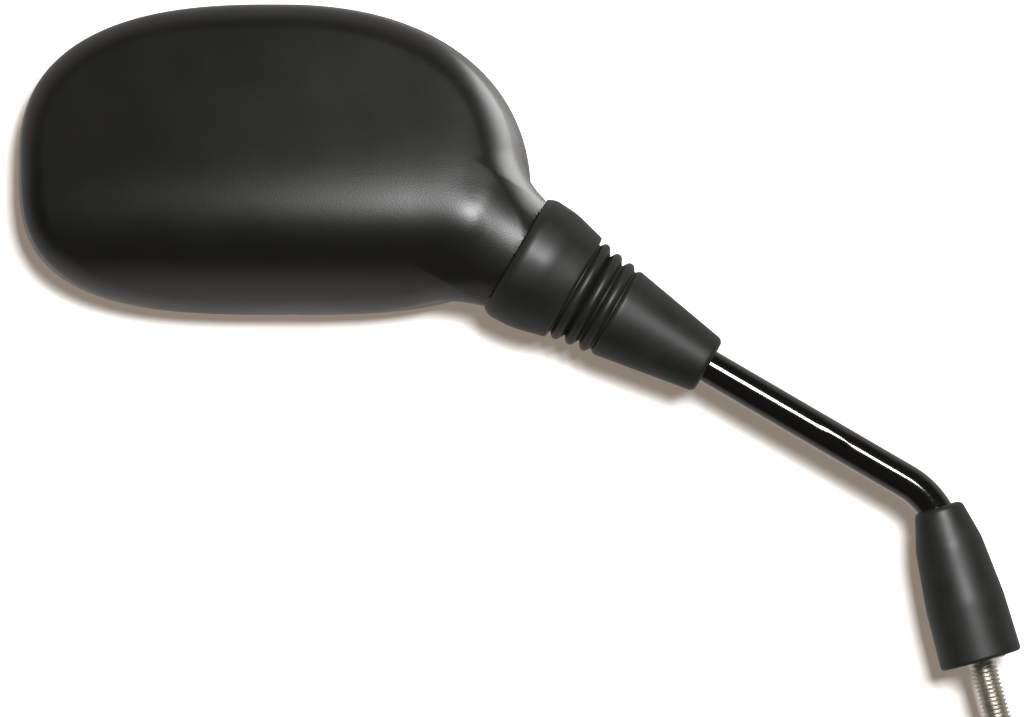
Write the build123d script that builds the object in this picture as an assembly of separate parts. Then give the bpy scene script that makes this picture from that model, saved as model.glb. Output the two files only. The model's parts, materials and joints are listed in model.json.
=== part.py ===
from build123d import *
import math
import os

# Right-hand scooter mirror. Sizes are millimetres and degrees.
# The origin is where the mounting stud meets its bracket: Z up the stud, X outboard, Y forward.

# Stem
stem_d = 10.0
bend_angle = 44.0
bend_radius = 25.0
bend_height = 50.0
arm_length = 131.0
stem_chamfer = 0.8
thread_clearance = 0.05
stem_foot_gap = 1.0

# Threaded adapter with the mounting stud, lock nut and washer
stud_d = 8.0
stud_length = 20.0
stud_chamfer = 1.0
adapter_flats = 14.0
adapter_height = 16.0
adapter_floor = 3.5
nut_flats = 14.0
nut_height = 6.0
nut_travel = 5.0
washer_d = 17.0
washer_thickness = 2.2
washer_clearance = 0.2
washer_slit = 1.4
washer_slit_angle = 20.0

# Rubber cover over the nut
cover_foot = 0.5
cover_top = 47.4
cover_mouth_d = 24.4
cover_waist_d = 20.0
cover_waist_height = 36.0
cover_top_d = 14.2
cover_wall = 2.3
cover_draft = 0.4
cover_lip_rounding = 1.0
cover_side_rounding = 30.0
cover_shoulder_rounding = 16.0
cover_top_rounding = 2.0
nut_room = 0.4
nut_headroom = 1.0
cover_seal_taper = 3.0

# Ball joint: heights run along the neck from the ball's centre towards the head
ball_d = 17.0
ball_pin_d = 7.0
ball_flat = 1.0
ball_clearance = 0.05
socket_bore_d = 20.0
cup_start = 0.5
cup_length = 11.0
cap_thickness = 3.6
cap_seat = -1.2
spigot_d = 28.4
spigot_bead_d = 1.2
cap_inset = 0.2
disc_count = 4
disc_d = 18.0
disc_hole_d = 9.2
disc_thickness = 1.0
disc_rise = 0.3
disc_gap = 0.02
screw_count = 3
screw_d = 2.0
screw_length = 9.0
screw_point = 1.5
screw_clearance = 0.1
screw_pilot_spare = 1.0
screw_head_d = 3.6
screw_head_height = 1.6
screw_slot_width = 0.5
screw_slot_length = 2.2
screw_slot_depth = 0.8

# Rubber boot over the ball joint
boot_gap = 1.0
boot_d = 37.0
boot_clearance = 0.05
boot_pocket = 0.6
boot_relief = 0.8
boot_relief_taper = 1.5
collar_length = 20.5
collar_top_inset = 0.9
collar_swell = 4.5
collar_fall = 0.35
collar_end_d = 32.0
collar_top_rounding = 1.2
collar_swell_rounding = 5.0
collar_side_rounding = 20.0
collar_end_rounding = 1.0
fold_diameters = (31.0, 29.9, 28.2)
fold_pitch = 4.7
fold_depth = 2.5
fold_rounding = 1.5
groove_half = 0.7
cone_d = 26.8
cone_length = 29.6
cone_end_d = 16.2
cone_grip = 9.0
cone_rounding = 1.2
cone_end_rounding = 2.0
boot_wall = 2.0

# Neck of the housing
neck_angle = 30.0
neck_start = 13.0
neck_reach = 26.0
neck_d = 33.4
neck_sweep = 200.0
neck_blend = 14.0
socket_wall = 2.7
socket_floor = 3.0

# Outline of the rim, seen from behind, measured from the ball's centre
head_middle = 80.0
head_top = 79.7
head_bottom = -12.2
head_outboard = 77.4
head_inboard = 74.2
outboard_height = 31.4
inboard_height = 22.0
outboard_squareness = (2.6, 3.05)
inboard_squareness = (2.25, 3.0)
outline_steps = 20

# Back of the housing, measured from the rim plane
rim_offset = 22.0
head_depth = 44.0
ridge_x = 42.0
ridge_y = 21.0
ridge_softness = 5.0
facet_angle = 25.0
fall_outboard = 15.0
fall_bottom = 32.0
fall_inboard = 8.0
inboard_width = 24.0
fall_power = 3.2
side_draft = 4.0
edge_rounding = 7.0
sheet_steps = 18
sheet_margin = 3.0

# Inside of the housing, glass and foam
wall = 2.5
lip_width = 2.0
lip_thickness = 2.0
drain_width = 3.0
drain_depth = 1.5
drain_offset = -4.0
stiffener_count = 4
stiffener_pitch = 25.0
stiffener_thickness = 1.8
glass_thickness = 2.5
glass_radius = 1400.0
glass_clearance = 0.7
glass_seat_gap = 0.1
foam_thickness = 3.5
foam_inset = 12.0

# Frames worked out from the sizes above
arm = Vector(math.sin(math.radians(bend_angle)), 0, math.cos(math.radians(bend_angle)))
ball_centre = Vector(0, 0, bend_height) + arm * arm_length
head_roll = math.radians(90 - bend_angle - neck_angle)
neck_tilt = math.radians(neck_angle)
head = Plane(ball_centre, (math.cos(head_roll), 0, math.sin(head_roll)), (0, -1, 0))
neck = Plane(ball_centre, (arm.Z, 0, -arm.X), arm)
neck_in_head = Plane(
    (0, 0, 0),
    (math.sin(neck_tilt), -math.cos(neck_tilt), 0),
    (math.cos(neck_tilt), math.sin(neck_tilt), 0),
)

# Heights along the neck that more than one piece shares
stem_r = stem_d / 2
ball_r = ball_d / 2
ball_shoulder = -math.sqrt(ball_r**2 - stem_r**2)
ball_end = math.sqrt(ball_r**2 - (ball_pin_d / 2 + ball_flat) ** 2)
cap_face = cap_seat - cap_thickness
disc_pitch = disc_thickness + disc_rise + disc_gap
socket_end = cup_length + disc_count * disc_pitch
screw_circle_d = (spigot_d + socket_bore_d) / 2
boot_top = neck_start - boot_gap
collar_end = boot_top - collar_length
cone_start = collar_end - fold_pitch * len(fold_diameters) - 2 * groove_half
boot_end = cone_start - cone_length

# Heights up the stud
stem_foot = adapter_floor + stem_foot_gap
nut_seat = adapter_height + washer_thickness
cover_cavity_top = nut_seat + nut_height + nut_travel + nut_headroom


def turned(*corners):
    """Solid turned about Z from a closed profile of (radius, height, rounding) corners."""
    points = [(radius, height) for radius, height, _ in corners]
    rounding = [corner[2] for corner in corners]
    profile = FilletPolyline(*points, radius=rounding, close=True)
    return revolve(Plane.XZ * make_face(profile), Axis.Z)


def post(diameter, low, high):
    """Cylinder on Z between two heights."""
    return Pos(0, 0, (low + high) / 2) * Cylinder(diameter / 2, high - low)


def hexagon(flats, low, high):
    """Hexagon bar on Z with its corners turned off at both ends."""
    corner = flats / math.sqrt(3)
    drop = (corner - flats / 2) * math.tan(math.radians(30))
    bar = Pos(0, 0, low) * extrude(RegularPolygon(flats / 2, 6, major_radius=False), high - low)
    barrel = turned(
        (0, low, 0),
        (flats / 2, low, 0),
        (corner, low + drop, 0),
        (corner, high - drop, 0),
        (flats / 2, high, 0),
        (0, high, 0),
    )
    return bar & barrel


def make_stud_adapter():
    body = hexagon(adapter_flats, 0, adapter_height)
    body += turned(
        (0, -stud_length, 0),
        (stud_d / 2 - stud_chamfer, -stud_length, 0),
        (stud_d / 2, stud_chamfer - stud_length, 0),
        (stud_d / 2, 1, 0),
        (0, 1, 0),
    )
    return body - post(stem_d + 2 * thread_clearance, adapter_floor, adapter_height + 1)


def make_lock_nut():
    body = hexagon(nut_flats, nut_seat, nut_seat + nut_height)
    return body - post(stem_d + 2 * thread_clearance, 0, bend_height)


def make_spring_washer():
    ring = post(washer_d, adapter_height, nut_seat) - post(stem_d + 2 * washer_clearance, 0, bend_height)
    slit = Pos(washer_d / 2, 0, (adapter_height + nut_seat) / 2) * Rot(washer_slit_angle, 0, 0)
    return ring - slit * Box(washer_d, washer_slit, 4 * washer_thickness)


def stem_path():
    shoulder = ball_centre + arm * ball_shoulder
    return FilletPolyline((0, 0, stem_foot), (0, 0, bend_height), shoulder, radius=bend_radius)


def rod(diameter):
    """The stem's bent rod at a given diameter."""
    return sweep(Pos(0, 0, stem_foot) * Circle(diameter / 2), path=stem_path())


def make_stem():
    body = chamfer(rod(stem_d).edges().sort_by(Axis.Z)[0], stem_chamfer)
    return body + neck.location * post(ball_pin_d, ball_shoulder, ball_end)


def make_nut_cover():
    top = cover_top_d / 2
    waist = cover_waist_d / 2
    mouth = cover_mouth_d / 2
    body = turned(
        (0, cover_foot, 0),
        (mouth, cover_foot, cover_lip_rounding),
        (mouth - cover_draft, cover_waist_height / 2, cover_side_rounding),
        (waist, cover_waist_height, cover_shoulder_rounding),
        (top, cover_top, cover_top_rounding),
        (0, cover_top, 0),
    )
    cavity = turned(
        (0, -cover_foot, 0),
        (mouth - cover_wall, -cover_foot, 0),
        (nut_flats / math.sqrt(3) + nut_room, cover_cavity_top, cover_lip_rounding),
        (stem_r, cover_cavity_top + cover_seal_taper, 0),
        (0, cover_cavity_top + cover_seal_taper, 0),
    )
    return body - cavity - rod(stem_d)


def make_pivot_ball():
    ball = Sphere(ball_r) & post(ball_d, ball_shoulder, ball_end)
    return ball - post(ball_pin_d, -ball_d, ball_d)


def make_pressure_cup():
    body = post(socket_bore_d - 2 * ball_clearance, cup_start, cup_length)
    return body - Sphere(ball_r + ball_clearance) - post(ball_pin_d, 0, 2 * cup_length)


def make_disc_springs():
    outer = disc_d / 2
    hole = disc_hole_d / 2
    disc = turned(
        (hole, disc_rise, 0),
        (outer, 0, 0),
        (outer, disc_thickness, 0),
        (hole, disc_thickness + disc_rise, 0),
    )
    flipped = Pos(0, 0, disc_thickness + disc_rise) * Rot(180, 0, 0) * disc
    stack = []
    for i in range(disc_count):
        height = cup_length + disc_pitch * i
        stack.append(Pos(0, 0, height) * (flipped if i % 2 else disc))
    return Compound(children=stack)


def screw_places():
    """Places round the socket where its screws stand."""
    turns = [360 * (i + 0.5) / screw_count for i in range(screw_count)]
    return [Rot(0, 0, turn) * Pos(screw_circle_d / 2, 0, 0) for turn in turns]


def make_socket_cap():
    body = post(spigot_d - 2 * cap_inset, cap_face, cap_seat) - Sphere(ball_r + ball_clearance)
    for place in screw_places():
        body -= place * post(screw_d + 2 * screw_clearance, cap_face - 1, cap_seat + 1)
    return body


def make_cap_screws():
    head_top = cap_face - screw_head_height
    screw = turned(
        (0, head_top, 0),
        (screw_head_d / 2, head_top, 0),
        (screw_head_d / 2, cap_face, 0),
        (screw_d / 2, cap_face, 0),
        (screw_d / 2, cap_face + screw_length - screw_point, 0),
        (0, cap_face + screw_length, 0),
    )
    slot = Pos(0, 0, head_top) * Box(screw_slot_width, screw_slot_length, 2 * screw_slot_depth)
    for turn in (0, 90):
        screw -= Rot(0, 0, turn) * slot
    return Compound(children=[place * screw for place in screw_places()])


def make_bellows_boot():
    stem_hole = stem_r + boot_clearance
    spigot_hole = spigot_d / 2 + boot_clearance
    outer = [(boot_d / 2 - collar_top_inset, boot_top, collar_top_rounding)]
    outer += [(boot_d / 2, boot_top - collar_swell, collar_swell_rounding)]
    outer += [(boot_d / 2 - collar_fall, (boot_top + collar_end) / 2, collar_side_rounding)]
    outer += [(collar_end_d / 2, collar_end, collar_end_rounding)]
    for i, fold in enumerate(fold_diameters):
        groove = collar_end - groove_half - fold_pitch * i
        outer += [(fold / 2 - fold_depth, groove, 0)]
        outer += [(fold / 2 + 0.9 * fold_rounding, groove - fold_pitch / 2, fold_rounding)]
    outer += [(fold_diameters[-1] / 2 - fold_depth, cone_start + groove_half, 0)]
    outer += [(cone_d / 2, cone_start, cone_rounding), (cone_end_d / 2, boot_end, cone_end_rounding)]
    inner = [(stem_hole, boot_end, 0), (stem_hole, boot_end + cone_grip, 0)]
    inner += [(fold_diameters[-1] / 2 - fold_depth - boot_wall, cone_start, 0)]
    inner += [(fold_diameters[0] / 2 - fold_depth - boot_wall, collar_end, 0)]
    inner += [(spigot_hole + boot_relief, collar_end + boot_relief_taper, 0)]
    inner += [(spigot_hole + boot_relief, cap_seat, 0)]
    inner += [(spigot_hole, cap_seat, 0), (spigot_hole, boot_top, 0)]
    bead = Torus(spigot_hole, spigot_bead_d / 2 + boot_clearance)
    return turned(*outer, *inner) - Pos(0, 0, neck_start / 2) * bead


def rim_point(side, angle, inset):
    """Point of the rim on its outboard (1) or inboard (-1) half, moved inwards."""
    half_width = (head_outboard if side > 0 else head_inboard) - inset
    middle = outboard_height if side > 0 else inboard_height
    upper = angle >= 0
    half_height = (head_top - middle if upper else middle - head_bottom) - inset
    power = (outboard_squareness if side > 0 else inboard_squareness)[0 if upper else 1]
    across, along = abs(math.cos(angle)), abs(math.sin(angle))
    reach = ((across / half_width) ** power + (along / half_height) ** power) ** (-1 / power)
    return Vector(head_middle + side * reach * across, middle + math.copysign(reach * along, angle))


def rim_points(inset):
    """Points all round the rim, outboard half first."""
    angles = [math.pi * (i / outline_steps - 0.5) for i in range(outline_steps + 1)]
    points = [rim_point(1, angle, inset) for angle in angles]
    return points + [rim_point(-1, angle, inset) for angle in reversed(angles[1:-1])]


def closed_curve(points):
    """Smooth closed wire through points, the same share of its length to each span."""
    parameters = [float(i) for i in range(len(points) + 1)]
    return Wire([Edge.make_spline(points, periodic=True, parameters=parameters)])


def rim_wire(inset, height=0):
    """Outline of the rim, moved inwards, at a height."""
    return Pos(0, 0, height) * closed_curve(rim_points(inset))


def outline(inset):
    """Face of the rim's outline, moved inwards."""
    return Face(rim_wire(inset))


def crown(x, y):
    """Depth of the back behind the rim plane, away from the rounded edge."""
    out = max(x - ridge_x, 0) / (head_middle + head_outboard - ridge_x)
    back = max(head_middle - head_inboard + inboard_width - x, 0) / inboard_width
    down = max(ridge_y - y, 0) / (ridge_y - head_bottom)
    up = ridge_softness * math.log1p(math.exp((y - ridge_y) / ridge_softness))
    depth = head_depth - math.tan(math.radians(facet_angle)) * up
    return depth - fall_outboard * out**2 - fall_inboard * back**fall_power - fall_bottom * down**fall_power


def sheet_places(low, high):
    """Even places for the points of the back's sheet, a little past both ends."""
    step = (high - low + 2 * sheet_margin) / sheet_steps
    return [low - sheet_margin + step * i for i in range(sheet_steps + 1)]


def back_sheet(inset):
    """Smooth sheet through the back, moved inwards."""
    across = sheet_places(head_middle - head_inboard, head_middle + head_outboard)
    upward = sheet_places(head_bottom, head_top)
    rows = [[Vector(x, y, rim_offset + inset - crown(x, y)) for y in upward] for x in across]
    return Face.make_surface_from_array_of_points(rows)


def lean(height):
    """How far the drafted side has come inwards at a height."""
    return (rim_offset - height) * math.tan(math.radians(side_draft))


def dome(inset, top):
    """Solid from a height at the rim down to the back, moved inwards, with its edge rounded."""
    rims = [rim_wire(inset + lean(height), height) for height in (top, rim_offset - head_depth)]
    under = extrude(back_sheet(inset), 2 * head_depth, dir=(0, 0, 1))
    body = Solid.make_loft(rims, ruled=True) & under
    closed = body.edges().filter_by(lambda edge: edge.is_closed)
    return fillet(closed.sort_by(Axis.Z)[0], edge_rounding - inset)


def slab(face, low, high):
    """Straight solid on an outline face between two heights."""
    return Pos(0, 0, low) * extrude(face, high - low, dir=(0, 0, 1))


def glass_front():
    """Height of the convex glass at its middle, its long sides just behind the lip."""
    half_height = (head_top - head_bottom) / 2 - wall - glass_clearance
    sag = glass_radius - math.sqrt(glass_radius**2 - half_height**2)
    return rim_offset - lip_thickness - glass_seat_gap + sag


def glass_ball(depth):
    """Ball whose surface is the glass's front, moved back by a depth."""
    x = head_middle + (head_outboard - head_inboard) / 2
    y = (head_top + head_bottom) / 2
    return Pos(x, y, glass_front() - glass_radius) * Sphere(glass_radius - depth)


def foam_back():
    return glass_front() - glass_thickness - foam_thickness


def make_mirror_glass():
    blank = slab(outline(wall + glass_clearance), foam_back(), rim_offset)
    return (blank & glass_ball(0)) - glass_ball(glass_thickness)


def make_foam_pad():
    return slab(outline(foam_inset), foam_back(), rim_offset) & glass_ball(glass_thickness)


def neck_radius(height):
    """Radius of the trumpet-shaped neck at a height along it."""
    return neck_d / 2 + math.sqrt(neck_sweep**2 - neck_start**2) - math.sqrt(neck_sweep**2 - height**2)


def make_neck():
    """Trumpet that carries the head, long enough to blend all round into the back."""
    heights = (cap_seat, neck_reach / 2, neck_reach)
    low, middle, high = [(neck_radius(height), height) for height in heights]
    profile = ThreePointArc(low, middle, high) + Polyline(high, (0, neck_reach), (0, cap_seat), low)
    return revolve(Plane.XZ * make_face(profile), Axis.Z)


def make_spigot():
    """Spigot for the boot, with a bead."""
    bead = Pos(0, 0, neck_start / 2) * Torus(spigot_d / 2, spigot_bead_d / 2)
    return post(spigot_d, cap_seat, neck_start + 1) + bead


def make_cavity():
    """Room inside the housing, round the lip, the ribs that the foam rests on and the socket's end."""
    lip_back = rim_offset - lip_thickness
    room = dome(wall, lip_back) + slab(outline(wall + lip_width), lip_back, rim_offset)
    plate = Box(stiffener_thickness, 2 * head_top, 2 * head_depth)
    for i in range(stiffener_count):
        x = head_middle + (i - (stiffener_count - 1) / 2) * stiffener_pitch
        room -= Pos(x, 0, foam_back() - head_depth) * plate
    return room - neck_in_head.location * post(socket_bore_d + 2 * socket_wall, 0, socket_end + socket_floor)


def hollowed(body, room):
    """Body with a room that opens in its rim plane and clears it everywhere else."""
    faces = []
    rims = []
    for solid in (body, room):
        rim = solid.faces().sort_by(Axis.Z)[-1]
        rims.append(rim.outer_wire())
        faces += [face for face in solid.faces() if face != rim]
    faces.append(Face(rims[0], [rims[1]]))
    return Solid(Shell(faces))


def make_housing():
    place = neck_in_head.location
    body = dome(0, rim_offset) + place * make_neck()
    neck_side = body.faces().filter_by(GeomType.TORUS).sort_by(SortBy.AREA)[-1]
    body = fillet(neck_side.edges().filter_by(GeomType.BSPLINE), neck_blend)
    body -= place * post(boot_d + 2 * boot_pocket, cap_face - neck_start, neck_start)
    body += place * make_spigot()
    body -= place * post(socket_bore_d, cap_seat - 1, socket_end)
    pilot_end = cap_face + screw_length + screw_pilot_spare
    for screw in screw_places():
        body -= place * screw * post(screw_d, cap_seat - 1, pilot_end)
    drain = Box(drain_width, 2 * wall + 2, 2 * drain_depth)
    shell = hollowed(body, make_cavity())
    return shell - Pos(head_middle + drain_offset, head_bottom, rim_offset) * drain


pieces = {
    "stud_adapter": make_stud_adapter(),
    "lock_nut": make_lock_nut(),
    "spring_washer": make_spring_washer(),
    "stem": make_stem(),
    "nut_cover": make_nut_cover(),
    "pivot_ball": neck.location * make_pivot_ball(),
    "pressure_cup": neck.location * make_pressure_cup(),
    "disc_springs": neck.location * make_disc_springs(),
    "socket_cap": neck.location * make_socket_cap(),
    "cap_screws": neck.location * make_cap_screws(),
    "bellows_boot": neck.location * make_bellows_boot(),
    "housing": head.location * make_housing(),
    "mirror_glass": head.location * make_mirror_glass(),
    "foam_pad": head.location * make_foam_pad(),
}

os.makedirs("parts", exist_ok=True)
for name, piece in pieces.items():
    export_step(piece, f"parts/{name}.step")
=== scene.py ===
"""Motorcycle mirror: finishes, finer pieces and a studio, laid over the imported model."""

import json
import math

import bmesh
import bpy
import numpy as np
from bpy.props import FloatProperty, FloatVectorProperty, IntProperty, PointerProperty
from bpy.types import Operator, Panel, PropertyGroup
from mathutils import Matrix, Vector


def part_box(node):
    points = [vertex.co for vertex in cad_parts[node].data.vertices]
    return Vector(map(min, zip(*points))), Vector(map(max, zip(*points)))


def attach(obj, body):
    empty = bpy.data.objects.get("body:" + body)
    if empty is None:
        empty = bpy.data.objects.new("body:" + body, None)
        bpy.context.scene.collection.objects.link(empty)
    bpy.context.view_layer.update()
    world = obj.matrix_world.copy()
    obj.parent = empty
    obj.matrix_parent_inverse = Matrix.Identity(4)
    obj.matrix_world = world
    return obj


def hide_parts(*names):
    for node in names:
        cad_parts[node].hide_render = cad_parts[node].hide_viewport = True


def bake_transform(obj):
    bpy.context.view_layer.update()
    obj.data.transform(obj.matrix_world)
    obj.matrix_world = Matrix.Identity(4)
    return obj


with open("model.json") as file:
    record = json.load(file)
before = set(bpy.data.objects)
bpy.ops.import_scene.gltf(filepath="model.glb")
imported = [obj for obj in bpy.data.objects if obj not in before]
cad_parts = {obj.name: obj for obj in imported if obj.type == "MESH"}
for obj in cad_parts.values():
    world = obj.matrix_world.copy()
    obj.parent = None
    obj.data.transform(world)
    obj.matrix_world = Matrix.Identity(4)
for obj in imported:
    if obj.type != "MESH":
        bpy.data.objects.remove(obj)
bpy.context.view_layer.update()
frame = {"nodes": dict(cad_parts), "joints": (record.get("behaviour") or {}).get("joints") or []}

bl_info = {
    "name": "Motorcycle Mirror",
    "version": (1, 0, 0),
    "blender": (4, 5, 0),
    "location": "3D View > Sidebar > Mirror",
    "description": "Finishes a motorcycle mirror and sets up its studio",
    "category": "Object",
}

MM = 0.001

# Points of a mesh that are closer than this become one
SAME_PLACE = 0.001 * MM

# A form that joins another, or is cut out of it, runs this far past the face where they meet
OVERLAP = 1.0 * MM

# Noise seldom leaves this range
NOISE_LOW = 0.3
NOISE_HIGH = 0.7


def axes_at(origin, x_axis, y_axis, z_axis):
    """Frame with its origin and its three axes."""
    return Matrix.Translation(origin) @ Matrix((x_axis, y_axis, z_axis)).transposed().to_4x4()


# The ball joint's frame: X across the neck, Y forward, Z along the neck towards the head
joints = {joint["name"]: joint for joint in frame["joints"]}
ball = Vector(joints["head_nod"]["pos_m"])
across = Vector(joints["head_nod"]["axis"])
along = Vector(joints["head_twist"]["axis"])
forward = along.cross(across)
neck = axes_at(ball, across, forward, along)

# The stem's bend: its foot runs up the stud's axis, and its upper end towards the ball
up = Vector((0, 0, 1))
bend_corner = ball - along * (ball.x / along.x)


def reach(node, place):
    """Lowest height, highest height and largest radius of a node, about the Z axis of a frame."""
    points = [place.inverted() @ vertex.co for vertex in frame["nodes"][node].data.vertices]
    heights = [point.z for point in points]
    return min(heights), max(heights), max(point.xy.length for point in points)


stem_low, stem_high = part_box("stem")
stem_radius = (stem_high.y - stem_low.y) / 2
adapter_low, adapter_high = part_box("stud_adapter")
boot_low, boot_high, _ = reach("bellows_boot", neck)
_, ball_high, ball_radius = reach("pivot_ball", neck)


def length(name, description, default):
    """Size in metres."""
    return FloatProperty(name=name, description=description, default=default, unit="LENGTH", precision=5)


def small(name, description, millimetres):
    """Size in metres, its default given in millimetres."""
    return length(name, description, millimetres * MM)


def share(name, description, default):
    """Number from nothing to all."""
    return FloatProperty(
        name=name, description=description, default=default, min=0, max=1, subtype="FACTOR"
    )


def number(name, description, default):
    """Plain number."""
    return FloatProperty(name=name, description=description, default=default)


def watts(name, description, default):
    """Power in watts."""
    return FloatProperty(name=name, description=description, default=default, unit="POWER")


def angle(name, description, degrees):
    """Angle, its default given in degrees."""
    return FloatProperty(name=name, description=description, default=math.radians(degrees), subtype="ANGLE")


def colour(name, description, default):
    """Linear colour."""
    return FloatVectorProperty(
        name=name, description=description, default=default, size=3, min=0, max=1, subtype="COLOR"
    )


class MirrorFinishes(PropertyGroup):
    """Colours and surface detail of the materials."""

    housing: colour("Housing", "Colour of the moulded housing", (0.0075, 0.0071, 0.0058))
    housing_roughness: share("Housing roughness", "Roughness of the moulded housing", 0.37)
    grain: small("Grain", "Size of the moulded grain", 0.45)
    grain_depth: small("Grain depth", "Depth of the moulded grain", 0.012)
    rubber: colour("Rubber", "Colour of the boot and the nut cover", (0.0132, 0.0132, 0.0122))
    rubber_roughness: share("Rubber roughness", "Roughness of the boot and the nut cover", 0.46)
    paint: colour("Paint", "Colour of the stem's paint", (0.004, 0.0036, 0.003))
    zinc: colour("Zinc", "Colour of the plated stud, nut and screws", (0.74, 0.71, 0.63))
    spring_steel: colour("Spring steel", "Colour of the washer and the disc springs", (0.34, 0.34, 0.35))
    ball_steel: colour("Ball steel", "Colour of the ground ball", (0.62, 0.62, 0.63))
    bearing: colour("Bearing plastic", "Colour of the pressure cup and the cap", (0.80, 0.79, 0.74))
    silver: colour("Silvering", "Tint of the mirror coat", (0.90, 0.91, 0.92))
    foam: colour("Foam", "Colour of the foam pad", (0.10, 0.10, 0.10))


class MirrorHousing(PropertyGroup):
    """Sizes of the moulded housing, from the ball's centre: X outboard, Y up and Z towards the glass."""

    neck_angle: angle("Neck angle", "Angle between the neck and the head's long side", 30.0)
    neck_start: small("Neck start", "Distance from the ball to the neck's end face", 12.1)
    neck_turn: small("Neck turn", "Where the neck starts to close inside the head", 26.0)
    neck_close: small("Neck close", "Radius at which the neck starts to close", 16.0)
    neck: small("Neck", "Diameter of the neck at its end", 35.2)
    neck_flare: angle("Neck flare", "Angle at which the neck widens", 2.0)
    neck_crest: share("Neck crest", "Share of the neck's radius over which its back stays round", 0.7)
    neck_cover: small("Neck cover", "How far the back reaches out over the neck", 10.0)
    neck_cover_width: small("Neck cover width", "Half the width over which it does so", 11.0)
    neck_seam: small("Neck seam", "Least rounding between the neck and the head", 1.0)
    neck_blend: small("Neck blend", "Softness with which the back flows into the neck", 2.2)
    neck_corner: small("Neck corner", "Rounding between the neck's sides and the head", 7.0)
    spigot: small("Spigot", "Diameter of the spigot for the boot", 28.4)
    spigot_end: small("Spigot end", "Where the spigot ends", -1.2)
    socket: small("Socket", "Diameter of the ball's socket", 20.0)
    socket_end: small("Socket end", "Where the socket's bore ends", 20.0)
    middle: small("Middle", "Where the outline's halves meet", 80.0)
    top: small("Top", "Upper edge of the rim", 79.7)
    bottom: small("Bottom", "Lower edge of the rim", -12.2)
    outboard: small("Outboard", "Width of the outboard half", 77.4)
    inboard: small("Inboard", "Width of the inboard half", 74.2)
    outboard_height: small("Outboard height", "Height of the outboard half's widest place", 31.4)
    inboard_height: small("Inboard height", "Height of the inboard half's widest place", 22.0)
    outboard_top: number("Outboard top", "Squareness of that corner", 2.6)
    outboard_foot: number("Outboard foot", "Squareness of that corner", 3.05)
    inboard_top: number("Inboard top", "Squareness of that corner", 2.25)
    inboard_foot: number("Inboard foot", "Squareness of that corner", 3.0)
    rim: small("Rim", "Distance from the neck's middle to the rim plane", 22.0)
    depth: small("Depth", "Depth of the back at its ridge", 41.8)
    ridge_x: small("Ridge X", "Where the back starts to fall outboard", 42.0)
    ridge_y: small("Ridge Y", "Height of the ridge along the back", 24.0)
    ridge_softness: small("Ridge softness", "Softness of the ridge", 5.0)
    facet: angle("Facet", "Slope of the back above the ridge", 25.0)
    fall_outboard: small("Outboard fall", "How far the back falls outboard", 15.0)
    fall_bottom: small("Bottom fall", "How far the back falls below the ridge", 32.0)
    fall_inboard: small("Inboard fall", "How far the back falls at the neck", 12.0)
    fall_width: small("Inboard width", "Width of the fall at the neck", 34.0)
    fall_power: number("Fall power", "Steepness of the falls at their ends", 3.2)
    draft: angle("Draft", "Lean of the sides", 4.0)
    shoulder: angle("Shoulder", "Further lean of the inboard side", 14.0)
    shoulder_start: small("Shoulder start", "Depth at which the shoulder starts", 13.0)
    shoulder_softness: small("Shoulder softness", "Softness of the shoulder's start", 2.0)
    shoulder_foot: small("Shoulder foot", "Height at which the shoulder has faded out", 16.0)
    shoulder_fade: small("Shoulder fade", "Height over which the shoulder fades", 22.0)
    edge: small("Edge", "Rounding between the sides and the back", 7.0)
    wall: small("Wall", "Thickness of the wall", 2.5)
    lip_width: small("Lip width", "Width of the lip before the glass", 2.0)
    lip: small("Lip", "Thickness of the lip", 2.0)
    room: small("Room", "Depth of the room for the glass", 6.3)
    pad_inset: small("Pad inset", "Distance from the rim to the room for the pad", 11.5)
    pad_room: small("Pad room", "Depth of the room for the pad", 7.6)
    drain: small("Drain", "Width of the drain slot", 3.0)
    drain_depth: small("Drain depth", "Depth of the drain slot", 1.5)
    drain_offset: small("Drain offset", "Place of the drain slot from the middle", -4.0)
    detail: small("Detail", "Size of the mesh's faces", 0.8)


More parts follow.
